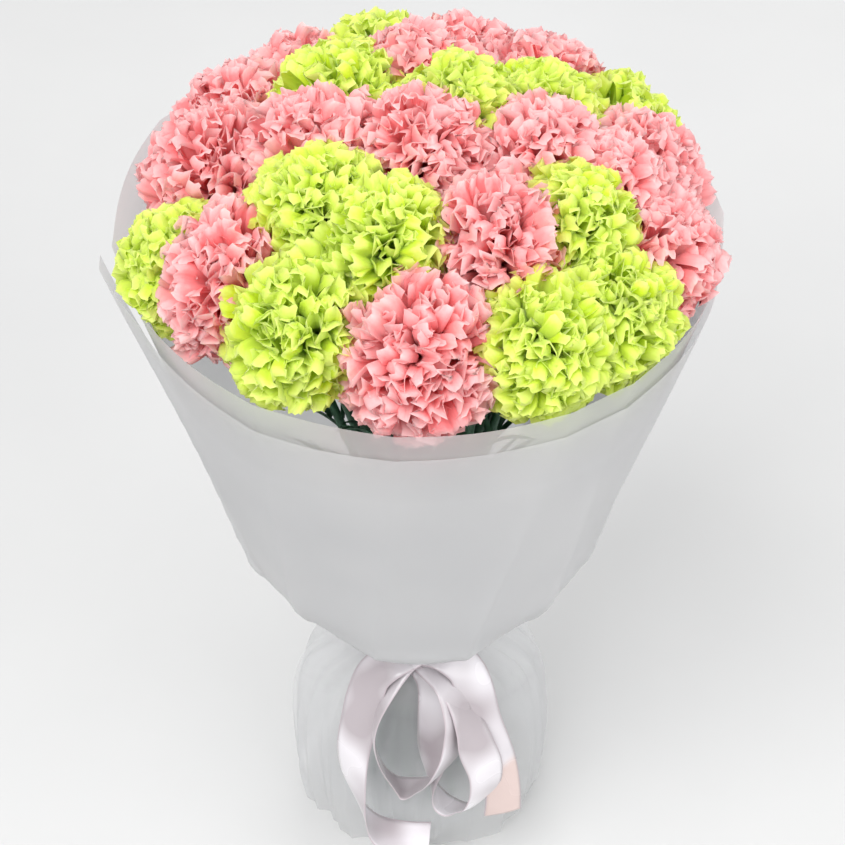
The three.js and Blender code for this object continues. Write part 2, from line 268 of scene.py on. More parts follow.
# The share of a bloom's petals, counted from its middle, past which they are guard petals.
GUARD_SHARE = 0.86


def petal_colour_group():
    """Colour and bump of one petal: darker at its foot with painted shade, pale along its toothed rim,
    finely veined.
    """
    tree, shader, given, leave = new_group(
        "petal_colour",
        [(name, "NodeSocketColor") for name in ("ShadedFoot", "Body", "Rim", "Guard")],
        [("Color", "NodeSocketColor"), ("Height", "NodeSocketFloat")],
    )
    along, across, tone, outer = [
        shader.attribute(name) for name in ("along", "across", "tone", "outer")
    ]
    # painted shade: towards its foot, deep inside the bloom, each petal takes the darker, more saturated
    # first colour
    body = shader.blend(shader.ramp(along, 0.35, 0.80), given["ShadedFoot"], given["Body"])
    mottle = shader.noise(220.0, 2.0)
    ragged = shader.math("MULTIPLY", shader.math("SUBTRACT", mottle, 0.5), 0.25)
    to_rim = shader.ramp(shader.math("ADD", along, ragged), 0.80, 1.03)
    rimmed = shader.blend(to_rim, body, given["Rim"])
    toned = shader.blend(shader.math("MULTIPLY", tone, 0.42), rimmed, given["Rim"])
    guard_share = shader.math("MULTIPLY", shader.ramp(outer, GUARD_SHARE, 1.0), 0.8)
    veins = shader.math("SINE", shader.math("MULTIPLY", across, 46.0))
    rough_skin = shader.math("MULTIPLY", mottle, 0.6)
    height = shader.math("ADD", shader.math("MULTIPLY", veins, 0.35), rough_skin)
    shader.fill(leave, Color=shader.blend(guard_share, toned, given["Guard"]), Height=height)
    return tree


def petal_material(name, colours, group):
    material, shader, principled = new_material(name)
    tint = shader.group(group, **colours)
    bump = shader.bump(tint["Height"], 0.25, 0.0004)
    shader.fill(principled, Base_Color=tint["Color"], Roughness=0.62, Sheen_Weight=0.25,
                Specular_IOR_Level=0.25, Normal=bump)
    through = shader.add("ShaderNodeBsdfTranslucent", Color=tint["Color"])
    shader.show(shader.mix(0.42, principled.outputs[0], through.outputs[0]))
    return material


def leaf_material():
    """Blue-green skin under a patchy, waxy bloom."""
    material, shader, principled = new_material("waxy_green")
    patches = shader.noise(60.0, 4.0)
    wax = shader.math("MULTIPLY", shader.ramp(patches, 0.35, 0.7), 0.35)
    skin = shader.blend(shader.attribute("calyx"), (0.035, 0.13, 0.055, 1), (0.22, 0.36, 0.12, 1))
    waxed = shader.blend(wax, skin, (0.28, 0.42, 0.36, 1))
    stretched = shader.add("ShaderNodeMapping", Vector=shader.place(), Scale=(1.0, 1.0, 0.06))
    ribs = shader.noise(900.0, 2.0, vector=stretched.outputs[0])
    rough = shader.math("ADD", shader.math("MULTIPLY", patches, 0.3), 0.32)
    shader.fill(principled, Base_Color=waxed, Roughness=rough, Normal=shader.bump(ribs, 0.3, 0.0003))
    return material


def film_haze_group():
    """Haze and creases of thin film: a colour painted lighter and darker in soft patches, for light and
    shade across the film, and a bump of soft folds.
    """
    tree, shader, given, leave = new_group(
        "film_haze",
        [("Tint", "NodeSocketColor"), ("Haze", "NodeSocketColor"), ("Crease Scale", "NodeSocketFloat")],
        [("Color", "NodeSocketColor"), ("Height", "NodeSocketFloat")],
    )
    # painted light and shade: soft noise patches spread the film's colour between its darker tint and its
    # paler haze
    colour = shader.blend(shader.noise(7.0, 2.0), given["Tint"], given["Haze"])
    long_way = shader.add("ShaderNodeMapping", Vector=shader.place(), Scale=(1.0, 1.0, 0.3))
    folds = shader.add("ShaderNodeTexNoise", {"noise_type": "RIDGED_MULTIFRACTAL"}, Detail=2.0,
                       Vector=long_way.outputs[0], Scale=given["Crease Scale"])
    shader.fill(leave, Color=colour, Height=folds.outputs["Fac"])
    return tree


def film_material(name, group, tint, haze, crease_scale, crease, rough, through, clears):
    """Film that scatters what it lets through: part surface, part glow, part clear.

    clears gives how much of it is clear in the skirt, in the cone and at the rim.
    """
    material, shader, principled = new_material(name)
    look = shader.group(group, Tint=tint, Haze=haze, Crease_Scale=crease_scale)
    bump = shader.bump(look["Height"], crease, 0.002)
    shader.fill(principled, Base_Color=look["Color"], Roughness=rough, IOR=1.3, Normal=bump)
    glow = shader.add("ShaderNodeBsdfTranslucent", Color=look["Color"], Normal=bump)
    lit = shader.mix(through, principled.outputs[0], glow.outputs[0])
    gap = shader.add("ShaderNodeBsdfTransparent").outputs[0]
    height = shader.add("ShaderNodeSeparateXYZ", Vector=shader.place()).outputs[2]
    skirt_clear, cone_clear, rim_clear = clears
    lower = shader.ramp(height, TIE_HEIGHT - 0.05, TIE_HEIGHT, skirt_clear, cone_clear)
    upper = shader.ramp(height, MOUTH_HEIGHT - 0.060, MOUTH_HEIGHT - 0.004, 0.0, rim_clear - cone_clear)
    shader.show(shader.mix(shader.math("ADD", lower, upper), lit, gap))
    return material


def satin_material():
    """Woven satin: long glossy floats along the ribbon, a fine rib across it, firmer edges, and painted
    sheen in soft bright and dark patches.
    """
    material, shader, principled = new_material("silver_pink_satin")
    across = shader.attribute("across")
    along = shader.attribute("along")
    threads = shader.math("SINE", shader.math("MULTIPLY", across, 260.0))
    picks = shader.math("SINE", shader.math("MULTIPLY", along, 9000.0))
    weave = shader.math("ADD", shader.math("MULTIPLY", threads, 0.6), shader.math("MULTIPLY", picks, 0.4))
    edge = shader.ramp(shader.math("ABSOLUTE", across), 0.90, 0.97)
    # painted sheen: soft noise patches blend a dark and a bright colour, for the satin's highlights and
    # shaded folds; the same noise varies the roughness
    sheen_noise = shader.noise(24.0, 1.0)
    painted_sheen = shader.ramp(sheen_noise, 0.38, 0.62)
    body = shader.blend(painted_sheen, (0.41, 0.365, 0.385, 1), (0.73, 0.70, 0.73, 1))
    body = shader.blend(shader.attribute("blush"), body, (0.64, 0.49, 0.45, 1))
    body = shader.blend(edge, body, (0.50, 0.43, 0.46, 1))
    rough = shader.math("ADD", shader.math("MULTIPLY", sheen_noise, 0.12), 0.20)
    shader.fill(principled, Base_Color=body, Normal=shader.bump(weave, 0.05, 0.0002), Roughness=rough,
                Specular_IOR_Level=0.75, Anisotropic=0.6, Sheen_Weight=0.3, Sheen_Roughness=0.35)
    return material


def cord_material():
    material, shader, principled = new_material("plant_fibre")
    fibres = shader.noise(700.0, 4.0, 0.7)
    colour = shader.blend(fibres, (0.30, 0.22, 0.12, 1), (0.62, 0.52, 0.34, 1))
    shader.fill(principled, Base_Color=colour, Roughness=0.85, Normal=shader.bump(fibres, 0.6, 0.0003))
    return material


def floor_material():
    material, shader, principled = new_material("pale_floor")
    colour = shader.blend(shader.noise(3.0, 4.0), (0.52, 0.52, 0.52, 1), (0.58, 0.58, 0.575, 1))
    shader.fill(principled, Base_Color=colour, Roughness=0.6)
    return material


petal_colours = petal_colour_group()
# The first colour of each set is painted shade for the petals' feet, deep inside the bloom.
PETALS = {
    "pink": petal_material("pink_petals", {
        "ShadedFoot": (1.0, 0.19, 0.20, 1), "Body": (1.0, 0.31, 0.32, 1),
        "Rim": (1.0, 0.70, 0.70, 1), "Guard": (1.0, 0.74, 0.72, 1),
    }, petal_colours),
    "green": petal_material("green_petals", {
        "ShadedFoot": (0.58, 0.76, 0.01, 1), "Body": (0.70, 0.86, 0.035, 1),
        "Rim": (0.88, 0.97, 0.30, 1), "Guard": (0.92, 0.90, 0.22, 1),
    }, petal_colours),
}
film_haze = film_haze_group()
FROSTED = film_material(
    "frosted_film", film_haze, (0.68, 0.685, 0.70, 1), (0.88, 0.875, 0.875, 1),
    crease_scale=9.0, crease=0.30, rough=0.36, through=0.42, clears=(0.60, 0.12, 0.36),
)
CLEAR = film_material(
    "clear_film", film_haze, (0.70, 0.75, 0.78, 1), (0.86, 0.89, 0.92, 1),
    crease_scale=26.0, crease=0.9, rough=0.10, through=0.15, clears=(0.68, 0.68, 0.68),
)
LEAF = leaf_material()
SATIN = satin_material()
FIBRE = cord_material()

# --- Petals -----------------------------------------------------------------------------------

PETAL_COLUMNS = 12
PETAL_LEVELS = (0.0, 0.42, 0.66, 0.83, 0.93, 1.0)
PETAL_KINDS = 12
GUARD_KINDS = 3
# How far a petal's tip rolls outwards, in breadths; its length over its breadth; and how much of
# its ruffle crimps the rim's outline, the rest waving the petal's surface.
PETAL_CURL = 1.5
PETAL_SLENDERNESS = 2.5
RIM_CRIMP = 0.6


def petal_line(roll):
    """Rounded side view of a petal: (outwards, upwards) from its foot to its rolled tip."""
    steps = 40
    line = [Vector((0.0, 0.0))]
    for step in range(steps):
        lean = -0.06 + roll * smooth(0.52, 1.0, (step + 0.5) / steps)
        line.append(line[-1] + Vector((math.sin(lean), math.cos(lean))) / steps)
    tallest = max(point.y for point in line)
    return [Vector((point.x, point.y / tallest)) for point in line]


def petal_object(index):
    """One ruffled, toothed petal, one unit long, standing on its foot along +Z and facing +Y.

    Most are narrow and folded, as in the crowd of a bloom; the last few are broad guard petals.
    """
    chance = random.Random(100 + index)
    guard = index >= PETAL_KINDS - GUARD_KINDS
    line = petal_line(1.25 if guard else chance.uniform(0.75, 1.75))
    ruffle = 0.17 if guard else chance.uniform(0.20, 0.32)
    reach = 0.68 if guard else chance.uniform(0.44, 0.58)
    waves = chance.uniform(1.6, 2.2) if guard else chance.uniform(1.5, 2.5)
    phase, phase2 = chance.uniform(0, math.tau), chance.uniform(0, math.tau)
    skew = chance.uniform(-0.16, 0.16)
    corners, alongs, acrosses = [], [], []
    for v in PETAL_LEVELS:
        half_width = 0.07 + reach * smooth(0.10, 0.84, v)
        half_width *= 1 - 0.20 * smooth(0.84, 1.0, v)
        for column in range(PETAL_COLUMNS + 1):
            u = 2 * column / PETAL_COLUMNS - 1
            fan = v * (1 - 0.065 * u**4)
            place = fan * (len(line) - 1)
            low = min(int(place), len(line) - 2)
            centre = line[low].lerp(line[low + 1], place - low)
            along = line[low + 1] - line[low]
            normal = Vector((along.y * PETAL_SLENDERNESS, -along.x * PETAL_CURL)).normalized()
            push = normal.lerp(Vector((1.0, 0.0)), RIM_CRIMP)
            tooth = 0.0
            if v == 1.0:
                tooth = 0.015 * (1 if column % 2 else -1) + chance.uniform(-0.009, 0.009)
                tooth += 0.020 * math.sin(3.1 * u + phase2)
            wave = math.sin(math.pi * waves * u + phase)
            wave += 0.34 * math.sin(math.pi * waves * 2.1 * u + phase2)
            depth = ruffle * v * v * (1.05 - 0.45 * abs(u)) * wave
            corners.append(Vector((
                u * half_width * (1 - 0.12 * abs(wave) * v) + skew * v * v,
                centre.x * PETAL_CURL + depth * push.x,
                centre.y + tooth + depth * push.y / PETAL_SLENDERNESS,
            )))
            alongs.append(v)
            acrosses.append(u)
    faces = grid_faces(len(PETAL_LEVELS), PETAL_COLUMNS + 1)
    petal = new_object(f"petal_{index:02d}", corners, faces, None)
    store_values(petal, along=alongs, across=acrosses)
    return petal


def petal_collection():
    collection = bpy.data.collections.new("petals")
    for index in range(PETAL_KINDS):
        petal = petal_object(index)
        bpy.context.scene.collection.objects.unlink(petal)
        collection.objects.link(petal)
    return collection


class GeometryTree(NodeWriter):
    """A Geometry Nodes tree with named inputs."""

    def __init__(self, name, inputs):
        super().__init__(bpy.data.node_groups.new(name, "GeometryNodeTree"))
        for socket, kind in inputs:
            self.tree.interface.new_socket(socket, in_out="INPUT", socket_type=kind)
        self.tree.interface.new_socket("Geometry", in_out="OUTPUT", socket_type="NodeSocketGeometry")
        self.given = self.tree.nodes.new("NodeGroupInput").outputs
        self.leave = self.tree.nodes.new("NodeGroupOutput")

    def vector(self, x, y, z):
        node = self.tree.nodes.new("ShaderNodeCombineXYZ")
        for socket, value in enumerate((x, y, z)):
            self.put(node, socket, value)
        return node.outputs[0]

    def chance(self, low, high, offset):
        """A random number for each element, fixed by the tree's seed and an offset."""
        node = self.tree.nodes.new("FunctionNodeRandomValue")
        node.data_type = "FLOAT"
        self.put(node, 2, low)
        self.put(node, 3, high)
        self.put(node, "Seed", self.math("ADD", self.given["Seed"], float(offset)))
        return node.outputs[1]

    def store(self, geometry, name, value):
        node = self.add("GeometryNodeStoreNamedAttribute", {"data_type": "FLOAT", "domain": "POINT"},
                        Geometry=geometry, Name=name, Value=value)
        return node.outputs[0]


GOLDEN_ANGLE = math.pi * (3 - math.sqrt(5))


def bloom_tree():
    """Petals set round a calyx on a golden-angle spiral, each as long as its bloom is deep there."""
    tree = GeometryTree("carnation_bloom", [
        ("Hull", "NodeSocketObject"), ("Petals", "NodeSocketCollection"), ("Count", "NodeSocketInt"),
        ("Foot", "NodeSocketVector"), ("Facing", "NodeSocketRotation"), ("Widest", "NodeSocketFloat"),
        ("Proud", "NodeSocketFloat"), ("Breadth", "NodeSocketFloat"), ("Crumple", "NodeSocketFloat"),
        ("Seed", "NodeSocketInt"), ("Finish", "NodeSocketMaterial"),
    ])
    given = tree.given

    # Where each petal points: a spiral that starts at the middle and ends at the guard petals.
    spots = tree.add("GeometryNodeMeshLine", {"mode": "OFFSET"}, Count=given["Count"],
                     Start_Location=given["Foot"], Offset=(0.0, 0.0, 0.0))
    index = tree.add("GeometryNodeInputIndex").outputs[0]
    share = tree.math("DIVIDE", tree.math("ADD", index, 0.5), given["Count"])
    polar = tree.math("MULTIPLY", tree.math("POWER", share, 0.60), given["Widest"])
    polar = tree.math("ADD", polar, tree.chance(-0.05, 0.05, 1))
    azimuth = tree.math("MULTIPLY", index, GOLDEN_ANGLE)
    azimuth = tree.math("ADD", azimuth, tree.chance(-0.25, 0.25, 2))
    sin_p, cos_p = tree.math("SINE", polar), tree.math("COSINE", polar)
    sin_a, cos_a = tree.math("SINE", azimuth), tree.math("COSINE", azimuth)
    straight = tree.vector(tree.math("MULTIPLY", sin_p, cos_a), tree.math("MULTIPLY", sin_p, sin_a), cos_p)
    sideways = tree.vector(
        tree.math("MULTIPLY", cos_p, cos_a), tree.math("MULTIPLY", cos_p, sin_a),
        tree.math("MULTIPLY", sin_p, -1.0),
    )
    direction, outwards = [
        tree.add("FunctionNodeRotateVector", Vector=vector, Rotation=given["Facing"]).outputs[0]
        for vector in (straight, sideways)
    ]

    # How long it is: as far as the solid bloom reaches that way, and a little proud of it.
    hull = tree.add("GeometryNodeObjectInfo", {"transform_space": "RELATIVE"}, Object=given["Hull"])
    ray = tree.add("GeometryNodeRaycast", Target_Geometry=hull.outputs["Geometry"],
                   Source_Position=given["Foot"], Ray_Direction=direction, Ray_Length=0.2)
    reach = tree.math("ADD", ray.outputs["Hit Distance"], given["Proud"])
    reach = tree.math("MULTIPLY", reach, tree.chance(0.86, 1.02, 3))

    # Which way it faces: outwards, and the nearer the middle the more at random.
    upright = tree.add("FunctionNodeAlignRotationToVector", {"axis": "Z"}, Vector=direction)
    faced = tree.add("FunctionNodeAlignRotationToVector", {"axis": "Y", "pivot_axis": "Z"},
                     Rotation=upright.outputs[0], Vector=outwards)
    swing = tree.math("MULTIPLY", tree.math("SUBTRACT", 1.12, share), 2.6)
    twist = tree.add("FunctionNodeAxisAngleToRotation", Axis=(0.0, 0.0, 1.0),
                     Angle=tree.math("MULTIPLY", tree.chance(-1.0, 1.0, 4), swing))
    rolled = tree.add("FunctionNodeRotateRotation", {"rotation_space": "LOCAL"},
                      Rotation=faced.outputs[0], Rotate_By=twist.outputs[0])
    breadth = tree.math("MULTIPLY", given["Breadth"], tree.chance(0.85, 1.15, 5))

    # Which kind it is: one of the crowd, or a guard petal at the outside.
    crowd = tree.chance(0.0, PETAL_KINDS - GUARD_KINDS - 0.01, 6)
    guard = tree.chance(PETAL_KINDS - GUARD_KINDS, PETAL_KINDS - 0.01, 8)
    is_guard = tree.math("GREATER_THAN", share, GUARD_SHARE)
    kind = tree.math("ADD", crowd, tree.math("MULTIPLY", is_guard, tree.math("SUBTRACT", guard, crowd)))
    layered = tree.store(spots.outputs[0], "outer", share)
    layered = tree.store(layered, "tone", tree.chance(0.0, 1.0, 7))
    petals = tree.add("GeometryNodeCollectionInfo", Collection=given["Petals"],
                      Separate_Children=True, Reset_Children=True)
    placed = tree.add(
        "GeometryNodeInstanceOnPoints", Points=layered, Instance=petals.outputs[0], Pick_Instance=True,
        Instance_Index=tree.math("FLOOR", kind), Rotation=rolled.outputs[0],
        Scale=tree.vector(breadth, breadth, reach),
    )
    real = tree.add("GeometryNodeRealizeInstances", Geometry=placed.outputs[0])

    # The crowd is crumpled as one, so that neighbours lie into each other.
    grain = tree.add("ShaderNodeTexNoise", {"noise_dimensions": "3D"}, Scale=120.0, Detail=1.0)
    shift = tree.add("ShaderNodeVectorMath", {"operation": "SUBTRACT"})
    tree.put(shift, 0, grain.outputs["Color"])
    tree.put(shift, 1, (0.5, 0.5, 0.5))
    sized = tree.add("ShaderNodeVectorMath", {"operation": "SCALE"})
    tree.put(sized, 0, shift.outputs[0])
    tree.put(sized, "Scale", given["Crumple"])
    crumpled = tree.add("GeometryNodeSetPosition", Geometry=real.outputs[0], Offset=sized.outputs[0])
    soft = tree.add("GeometryNodeSetShadeSmooth", Geometry=crumpled.outputs[0])
    dressed = tree.add("GeometryNodeSetMaterial", Geometry=soft.outputs[0], Material=given["Finish"])
    tree.put(tree.leave, "Geometry", dressed.outputs[0])
    return tree.tree


def made_by_nodes(name, tree, values):
    """Runs a Geometry Nodes tree with named inputs and keeps its result as a plain mesh."""
    carrier = bpy.data.objects.new(name + "_maker", bpy.data.meshes.new(name + "_maker"))
    bpy.context.scene.collection.objects.link(carrier)
    modifier = carrier.modifiers.new("nodes", "NODES")
    modifier.node_group = tree
    for item in tree.interface.items_tree:
        if item.item_type == "SOCKET" and item.in_out == "INPUT" and item.name in values:
            modifier[item.identifier] = values[item.name]
    ready = carrier.evaluated_get(bpy.context.evaluated_depsgraph_get())
    mesh = bpy.data.meshes.new_from_object(ready)
    mesh.name = name
    made = bpy.data.objects.new(name, mesh)
    bpy.context.scene.collection.objects.link(made)
    bpy.data.objects.remove(carrier)
    return made


# --- Reading a flower's line from its CAD stem ------------------------------------------------

DOME_RADIUS = 0.166
DOME_RISE = 0.100
dome_middle = cad_box[1][2] - DOME_RISE


def read_stem(stem, bloom):
    """(points along the stem up to its calyx's top, the direction that the bloom faces)."""
    low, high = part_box(bloom)
    middle = (Vector(low) + Vector(high)) / 2
    inset = 0.5 * DOME_RISE / 2
    facing = Vector((
        middle.x / (DOME_RADIUS - inset) ** 2, middle.y / (DOME_RADIUS - inset) ** 2,
        (middle.z - dome_middle) / (DOME_RISE - inset) ** 2,
    )).normalized()
    corners = sorted({tuple(round(c, 5) for c in v.co) for v in NODES[stem].data.vertices},
                     key=lambda corner: corner[2])
    corners = [Vector(corner) for corner in corners]
    farthest = max(corner.dot(facing) for corner in corners)
    rim = [corner for corner in corners if corner.dot(facing) > farthest - 0.004]
    top = sum(rim, Vector()) / len(rim)
    ring_gap = 0.012
    rings = [[corners[0]]]
    for corner in corners[1:]:
        if corner.z - rings[-1][-1].z > ring_gap:
            rings.append([])
        rings[-1].append(corner)
    line = [sum(ring, Vector()) / len(ring) for ring in rings]
    line = [point for point in line if (top - point).length > 1.5 * CALYX_LENGTH]
    line.append(top - facing * CALYX_LENGTH * 1.15)
    line.append(top)
    return line, facing


def curve_points(points, count):
    """count points evenly along a smooth line through points."""
    ghosts = [2 * points[0] - points[1], *points, 2 * points[-1] - points[-2]]
    fine = []
    for i in range(1, len(ghosts) - 2):
        a, b, c, d = ghosts[i - 1:i + 3]
        for step in range(16):
            t = step / 16
            fine.append(0.5 * (2 * b + (c - a) * t + (2 * a - 5 * b + 4 * c - d) * t * t
                               + (3 * b - a - 3 * c + d) * t**3))
    fine.append(points[-1])
    travelled = [0.0]
    for i in range(1, len(fine)):
        travelled.append(travelled[-1] + (fine[i] - fine[i - 1]).length)
    result, place = [], 0
    for k in range(count):
        want = travelled[-1] * k / (count - 1)
        while place < len(fine) - 2 and travelled[place + 1] < want:
            place += 1
        span = max(travelled[place + 1] - travelled[place], 1e-9)
        result.append(fine[place].lerp(fine[place + 1], (want - travelled[place]) / span))
    return result, travelled[-1]


# --- Stems, calyces and leaves ----------------------------------------------------------------

STEM_SIDES = 10
LEAF_LEVELS = (0.235, 0.300, 0.355, 0.405)


def film_radius(height):
    return read_along(HOURGLASS, height)


def pull_in(spot, limit):
    """Moves a spot level towards the axis until it is no farther out than limit."""
    reach = math.hypot(spot.x, spot.y)
    if reach > limit:
        spot.x *= limit / reach
        spot.y *= limit / reach
    return spot


def press_petals(flower, room=0.0058):
    """Lays the outer petals against the inner face of the film, and lets them spill over its rim."""
    nearest = film_radius(MOUTH_HEIGHT - 0.10) - room
    for corner in flower.data.vertices:
        spot = corner.co
        if math.hypot(spot.x, spot.y) > nearest:
            limit = film_radius(min(spot.z, MOUTH_HEIGHT)) - room
            limit += 1.1 * max(spot.z - MOUTH_HEIGHT + 0.004, 0.0)
            pull_in(spot, limit)


def leaf_parts(root, along, side, length, width, chance):
    """A narrow, channelled leaf that clasps the stem and bends away from it, inside the film."""
    rows, columns = 12, 5
    film_room = 0.006
    normal = along.cross(side).normalized()
    bend = chance.uniform(0.5, 1.1)
    corners, place, first_way = [], root, along * 0.95 + side * 0.3
    for row in range(rows):
        t = row / (rows - 1)
        half = width / 2 * (1 - t) ** 0.55 * (0.75 + 0.9 * t * (1 - t))
        direction = (first_way + side * bend * t * t + Vector((0, 0, -0.25 * t * t))).normalized()
        up = direction.cross(normal).normalized()
        for column in range(columns):
            u = 2 * column / (columns - 1) - 1
            corner = place + normal * u * half - up * (half * 0.45 * (1 - abs(u)))
            corners.append(pull_in(corner, film_radius(corner.z) - film_room))
        place = place + direction * length / (rows - 1)
    return corners, grid_faces(rows, columns)


def stem_object(name, line, facing, seed):
    """A jointed stem with its calyx, and narrow leaves in pairs above the tie."""
    chance = random.Random(seed)
    points, length = curve_points(line, 64)
    corners, calyxes = [], []
    joints = [0.40, 0.56, 0.70, 0.83]
    for k, point in enumerate(points):
        share = k / (len(points) - 1)
        left = (1 - share) * length
        ahead = points[min(k + 1, len(points) - 1)] - points[max(k - 1, 0)]
        if k == 0:
            ahead = Vector((0, 0, 1))
        if left < 0.001:
            ahead = facing
        turn = Vector((0, 0, 1)).rotation_difference(ahead.normalized())
        swell = sum(math.exp(-((share - joint) * length / 0.0035) ** 2) for joint in joints)
        bulge = smooth(CALYX_LENGTH, CALYX_LENGTH * 0.72, left)
        cup = CALYX_RADIUS * (0.80 + 0.20 * smooth(CALYX_LENGTH * 0.6, 0.0, left))
        radius = mix(STEM_RADIUS * (0.92 + 0.35 * swell), cup, bulge)
        for side in range(STEM_SIDES):
            angle = 2 * math.pi * side / STEM_SIDES
            ring = Vector((math.cos(angle), math.sin(angle), 0)) * radius
            corner = point + turn @ ring
            corner.z = max(corner.z, 0.0)
            corners.append(corner)
            calyxes.append(bulge)
    faces = grid_faces(len(points), STEM_SIDES, closed=True)
    faces.append(tuple(reversed(range(STEM_SIDES))))
    top = (len(points) - 1) * STEM_SIDES
    faces.append(tuple(range(top, top + STEM_SIDES)))
    for level in LEAF_LEVELS:
        at = min(range(len(points)), key=lambda k: abs(points[k].z - level - chance.uniform(-0.02, 0.02)))
        if (1 - at / (len(points) - 1)) * length < CALYX_LENGTH * 1.4:
            continue
        along = (points[at + 1] - points[at - 1]).normalized()
        spin = chance.uniform(0, math.tau)
        across = along.orthogonal().normalized()
        side = Matrix.Rotation(spin, 3, along) @ across
        for way in (side, -side):
            leaf, leaf_faces = leaf_parts(
                points[at] + way * STEM_RADIUS, along, way, chance.uniform(0.055, 0.085),
                chance.uniform(0.0065, 0.0095), chance)
            start = len(corners)
            corners.extend(leaf)
            calyxes.extend([0.0] * len(leaf))
            faces.extend(tuple(start + c for c in face) for face in leaf_faces)
    stem = new_object(name, corners, faces, LEAF)
    store_values(stem, calyx=calyxes)
    return stem


# --- Film -------------------------------------------------------------------------------------


def wave(bearing, seed, lobes):
    """An irregular wave round the bunch, about -1 to 1."""
    angle = math.radians(bearing)
    place = Vector((math.cos(angle), math.sin(angle), seed * 7.31)) * (lobes / 3.0)
    return noise.noise(place) * 1.6


def cone_dent(bearing, height):
    """How much the folded film draws in on each side of the front, just above the tie."""
    sides = math.exp(-((abs(bearing) - 42) / 22) ** 2)
    return 0.12 * sides * math.exp(-((height - 0.228) / 0.026) ** 2)


# Long creases of the cone: (bearing at the tie, bearing at the rim, depth in metres).
CREASES = [
    (-70, -82, 0.0052), (-44, -30, 0.0042), (-16, -4, 0.0030), (14, 27, 0.0040), (44, 40, 0.0046),
    (74, 92, 0.0052), (120, 132, 0.0044), (168, 158, 0.0042), (-150, -140, 0.0044), (-112, -118, 0.0048),
]


def crease_depth(bearing, height):
    """How far the film stands in or out along its long creases."""
    share = smooth(TIE_HEIGHT, MOUTH_HEIGHT, height)
    rise = smooth(TIE_HEIGHT + 0.02, TIE_HEIGHT + 0.06, height) * (1 - 0.55 * share)
    depth = 0.0
    for low, high, size in CREASES:
        away = abs((bearing - mix(low, high, share) + 180) % 360 - 180)
        depth += size * math.exp(-away / 4.5)
    return depth * rise


# Depths of the film's waves in metres: gathered next to the tie, in the skirt (round waves and
# sharp pleats) and in the loose cone; and how far apart overlapping edges of one sheet lie.
GATHER_WAVE, SKIRT_WAVE, SKIRT_PLEAT, CONE_WAVE = 0.0045, 0.0055, 0.0052, 0.0018
OVERLAP_STEP = 0.0024


def film_object(name, start, end, inset, mouth, hem, seed, corner_flare=0.0):
    """A sheet of film gathered round the stems, between two bearings, from its hem to its mouth.

    A sheet that goes all the way round winds outwards a little, so that its edges overlap.
    """
    columns = int(end - start) + 1
    rows = 110
    corners = []
    for row in range(rows):
        share = row / (rows - 1)
        for column in range(columns):
            bearing = mix(start, end, column / (columns - 1))
            height = mix(hem(bearing), mouth(bearing), share)
            radius = film_radius(height) - inset
            radius *= 1 - cone_dent(bearing, height)
            gather = math.exp(-((height - TIE_HEIGHT - 0.032) / 0.026) ** 2)
            gather += 0.8 * math.exp(-((height - TIE_HEIGHT + 0.034) / 0.026) ** 2)
            skirt = smooth(TIE_HEIGHT - 0.02, 0.0, height)
            radius += GATHER_WAVE * gather * wave(bearing, seed, 16)
            radius += SKIRT_WAVE * skirt * wave(bearing, seed + 3, 8)
            radius -= SKIRT_PLEAT * skirt * abs(wave(bearing, seed + 9, 16))
            radius += crease_depth(bearing, height)
            loose = smooth(0.25, MOUTH_HEIGHT, height)
            radius += CONE_WAVE * loose * wave(bearing, seed + 5, 4)
            edge = min(bearing - start, end - bearing)
            if end - start > 360:
                radius += OVERLAP_STEP * (column / (columns - 1) - 0.5)
            else:
                radius += corner_flare * smooth(22, 0, edge) * smooth(0.30, MOUTH_HEIGHT, height)
            spot = heading(bearing) * radius
            spot.y *= 1 - read_along(FLATTENING, height)
            spot.z = max(height, 0.0006)
            corners.append(spot)
    return new_object(name, corners, grid_faces(rows, columns), FROSTED)


def mouth_line(low, high, tips):
    """Height of a sheet's upper edge: low at the front, high at the back, with raised tips."""

    def height(bearing):
        level = mix(low, high, 0.5 - 0.5 * math.cos(math.radians(bearing)))
        for tip, rise, width in tips:
            away = (bearing - tip + 180) % 360 - 180
            level += rise * math.exp(-(away / width) ** 2)
        return level

    return height


def build_film():
    inner = film_object(
        "inner_wrap_film", -187, 187, 0.0022,
        mouth_line(MOUTH_HEIGHT - 0.002, MOUTH_HEIGHT + 0.002, [(122, 0.010, 18), (-118, 0.009, 26)]),
        mouth_line(0.012, 0.016, [(-70, 0.020, 25), (40, 0.012, 20)]), seed=2)
    outer = film_object(
        "outer_wrap_film", -86, 140, 0.0,
        mouth_line(MOUTH_HEIGHT - 0.021, MOUTH_HEIGHT - 0.004, []),
        mouth_line(0.0, 0.0, []), seed=1, corner_flare=0.010)
    settle(inner, "inner_wrap")
    settle(outer, "outer_wrap")


